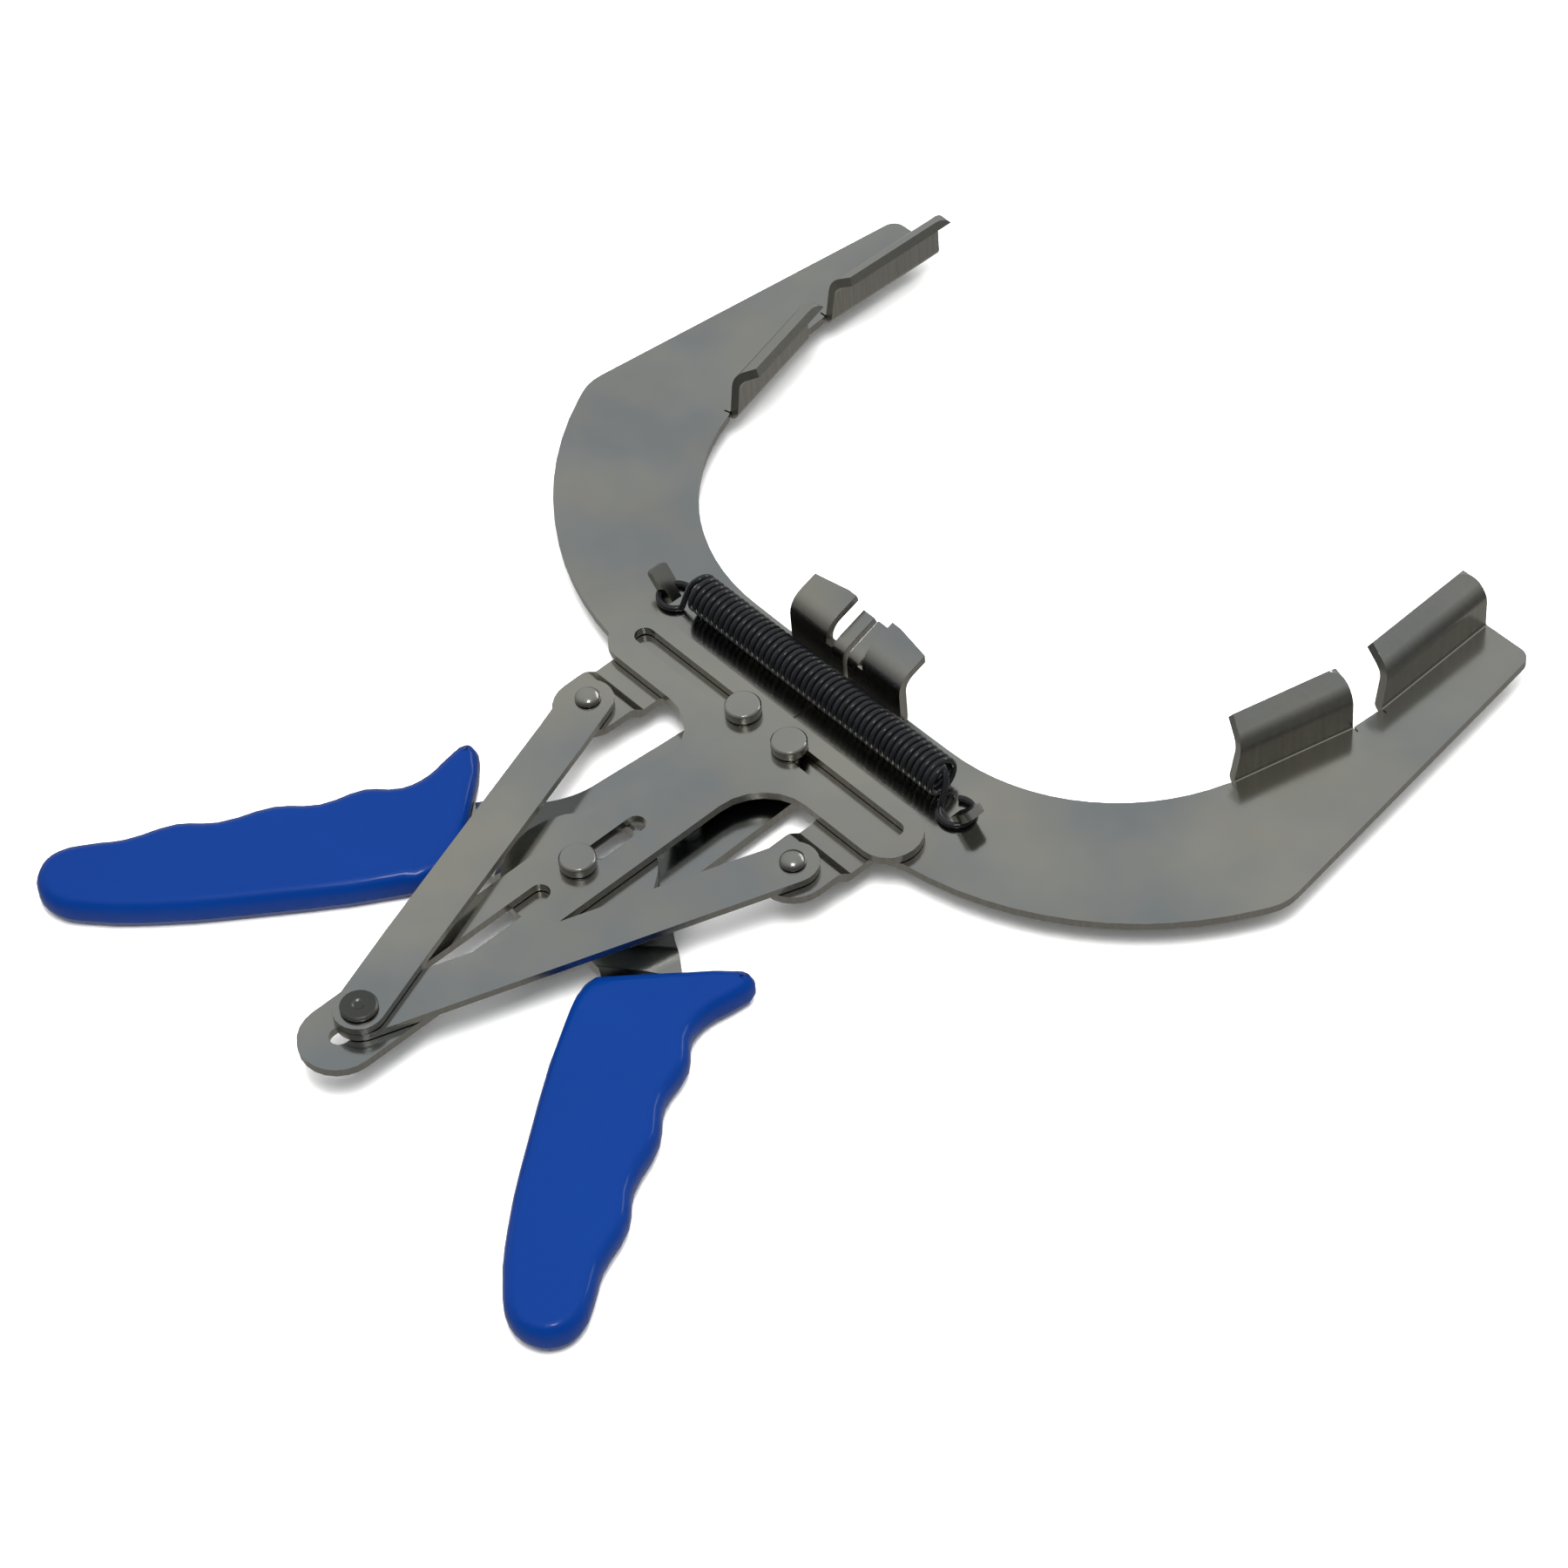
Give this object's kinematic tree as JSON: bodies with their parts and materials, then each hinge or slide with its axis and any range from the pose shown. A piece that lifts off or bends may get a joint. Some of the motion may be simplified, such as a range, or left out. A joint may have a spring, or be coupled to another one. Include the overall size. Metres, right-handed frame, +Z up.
{
  "type": "piston ring expander",
  "caption": "Piston ring expander with sliding sheet steel jaws on a T-shaped guide plate, scissor levers, toggle links, a return spring and moulded blue grips.",
  "frame": {"origin": "centre of the bounding box footprint, on the surface the tool lies on", "axes": "+Z up, out of the top of the guide plate; +Y from the grips towards the ring claws; +X towards the right jaw"},
  "size_m": [0.2728, 0.3308, 0.0303],
  "materials": {
    "plate_steel": "bright nickel plated sheet steel with a fine rolled grain",
    "rivet_steel": "bright plated, turned and peened rivet steel",
    "grip_plastic": "glossy dark blue moulded vinyl",
    "spring_wire": "black oxide spring wire, lightly oiled"
  },
  "bodies": {
    "guide": {"guide_plate": "plate_steel"},
    "right_spacer": {"spacer_rivet_right": "rivet_steel"},
    "right_lever": {"lever_right": "plate_steel", "grip_right": "grip_plastic", "pivot_rivet": "rivet_steel"},
    "right_jaw": {"jaw_right": "plate_steel", "stud_right": "rivet_steel", "washer_right": "rivet_steel", "link_pin_right": "rivet_steel"},
    "right_link": {"link_right": "plate_steel"},
    "left_spacer": {"spacer_rivet_left": "rivet_steel"},
    "left_lever": {"lever_left": "plate_steel", "grip_left": "grip_plastic"},
    "left_jaw": {"jaw_left": "plate_steel", "stud_left": "rivet_steel", "washer_left": "rivet_steel", "link_pin_left": "rivet_steel"},
    "left_link": {"link_left": "plate_steel", "rear_pin": "rivet_steel"},
    "right_spring": {"spring_right": "spring_wire"},
    "left_spring": {"spring_left": "spring_wire"}
  },
  "joints": [
    {"name": "squeeze", "type": "hinge", "parent": "guide", "child": "right_spacer", "pos_m": [0, 0.00338, 0.0141], "axis": [0, 0, 1], "range_deg": [0, 38], "stiffness_Nm_per_rad": 1.5, "springref_deg": -20.05},
    {"name": "right_lever_turn", "type": "hinge", "parent": "right_spacer", "child": "right_lever", "pos_m": [0.00455, -0.02945, 0.0141], "axis": [0, 0, 1], "range_deg": [-76, 0]},
    {"name": "right_jaw_slide", "type": "hinge", "parent": "right_lever", "child": "right_jaw", "pos_m": [0.0091, 0.00338, 0.0141], "axis": [0, 0, 1], "range_deg": [0, 38]},
    {"name": "right_link_swing", "type": "hinge", "parent": "right_jaw", "child": "right_link", "pos_m": [0.0405, -0.02381, 0.0141], "axis": [0, 0, 1], "range_deg": [-22.2, 0]},
    {"name": "left_spacer_swing", "type": "hinge", "parent": "guide", "child": "left_spacer", "pos_m": [0, 0.00338, 0.0141], "axis": [0, 0, 1], "range_deg": [-38, 0]},
    {"name": "left_lever_turn", "type": "hinge", "parent": "left_spacer", "child": "left_lever", "pos_m": [-0.00455, -0.02945, 0.0141], "axis": [0, 0, 1], "range_deg": [0, 76]},
    {"name": "left_jaw_slide", "type": "hinge", "parent": "left_lever", "child": "left_jaw", "pos_m": [-0.0091, 0.00338, 0.0141], "axis": [0, 0, 1], "range_deg": [-38, 0]},
    {"name": "left_link_swing", "type": "hinge", "parent": "left_jaw", "child": "left_link", "pos_m": [-0.0405, -0.02381, 0.0141], "axis": [0, 0, 1], "range_deg": [0, 22.2]},
    {"name": "right_spring_stretch", "type": "slide", "parent": "guide", "child": "right_spring", "axis": [1, 0, 0], "range_m": [0, 0.0386], "deforming": ["spring_right"]},
    {"name": "left_spring_stretch", "type": "slide", "parent": "guide", "child": "left_spring", "axis": [1, 0, 0], "range_m": [-0.0386, 0], "deforming": ["spring_left"]}
  ],
  "couplings": [
    {"joint": "right_spring_stretch", "follows": "squeeze", "m_per_rad": 0.05805},
    {"joint": "left_spring_stretch", "follows": "squeeze", "m_per_rad": -0.05805},
    {"joint": "right_lever_turn", "follows": "squeeze", "ratio": -2},
    {"joint": "right_jaw_slide", "follows": "squeeze", "ratio": 1},
    {"joint": "right_link_swing", "follows": "squeeze", "ratio": -0.584},
    {"joint": "left_spacer_swing", "follows": "squeeze", "ratio": -1},
    {"joint": "left_lever_turn", "follows": "squeeze", "ratio": 2},
    {"joint": "left_jaw_slide", "follows": "squeeze", "ratio": -1},
    {"joint": "left_link_swing", "follows": "squeeze", "ratio": 0.584}
  ]
}
